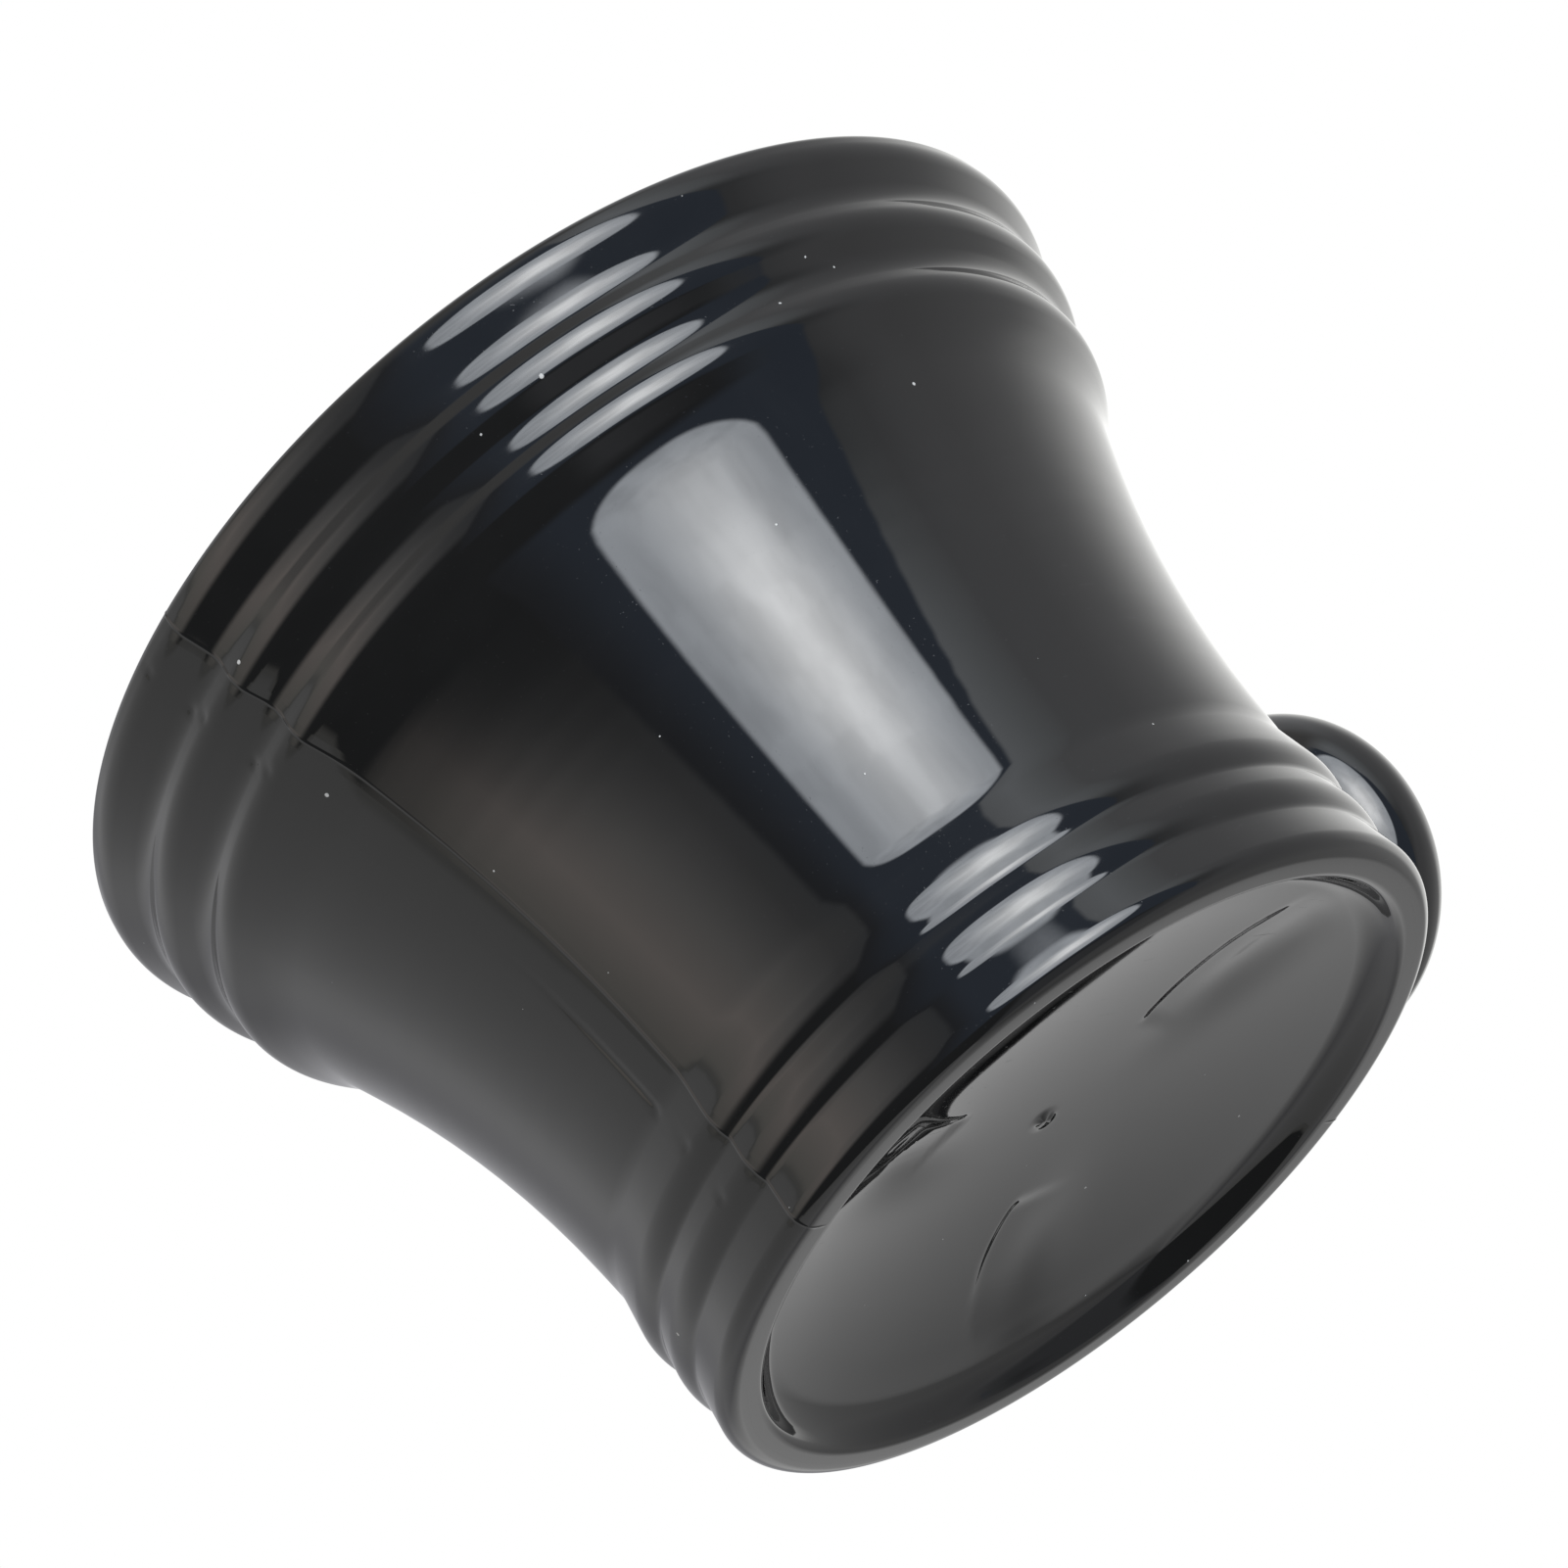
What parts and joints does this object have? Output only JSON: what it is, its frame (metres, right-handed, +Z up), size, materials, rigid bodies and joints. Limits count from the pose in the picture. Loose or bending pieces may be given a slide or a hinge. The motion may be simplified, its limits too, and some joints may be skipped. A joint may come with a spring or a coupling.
{
  "type": "hair color bowl",
  "caption": "Flared round mixing bowl with rim and foot beads, a domed base in a foot ring, and a flattened round knob on a neck at its side.",
  "frame": {"origin": "centre of the foot ring's resting plane, on the bowl's axis", "axes": "+Z up along the bowl's axis to its mouth, +X out through the middle of the knob; the mould parts on the XZ plane"},
  "size_m": [0.1157, 0.1, 0.0724],
  "materials": {
    "bowl_plastic": "high-gloss moulded black ABS with a fine parting line",
    "knob_plastic": "high-gloss moulded black ABS",
    "steel": "zinc-plated steel"
  },
  "bodies": {
    "root": {"bowl_body": "bowl_plastic", "knob_shell": "knob_plastic", "knob_cap": "knob_plastic", "knob_washer": "steel", "knob_screw": "steel"}
  },
  "joints": []
}
